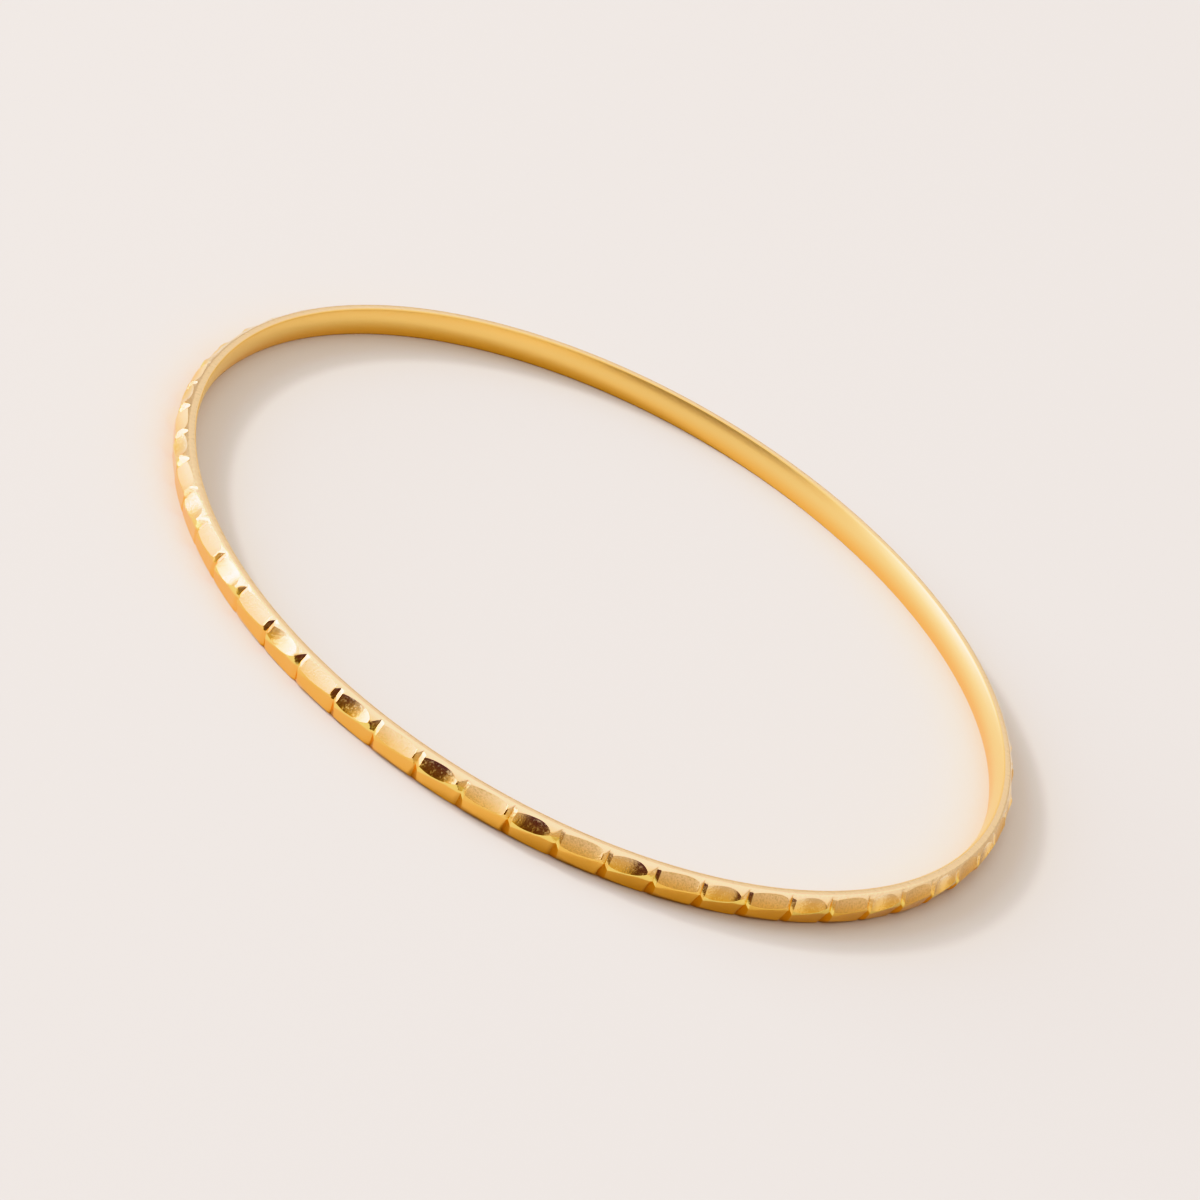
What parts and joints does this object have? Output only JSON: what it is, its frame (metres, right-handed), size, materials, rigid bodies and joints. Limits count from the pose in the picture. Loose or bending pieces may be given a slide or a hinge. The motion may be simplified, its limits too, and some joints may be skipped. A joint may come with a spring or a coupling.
{
  "type": "bangle",
  "caption": "Thin rigid closed bangle, plain inside, with satin and polished facets taking turns round its outside and a narrow notch between each two.",
  "frame": {"origin": "the ring's centre, on the plane that its base rests on", "axes": "+Z along the ring's axis, up from the surface it lies on; +X and +Y in the ring's plane, with -Y towards the front"},
  "size_m": [0.0662, 0.0662, 0.0024],
  "materials": {
    "gold": "warm yellow gold plate over brass: mirror-polished facets and finely frosted satin facets in turn, a smooth polished shoulder and inside"
  },
  "bodies": {
    "root": {"bangle": "gold"}
  },
  "joints": []
}
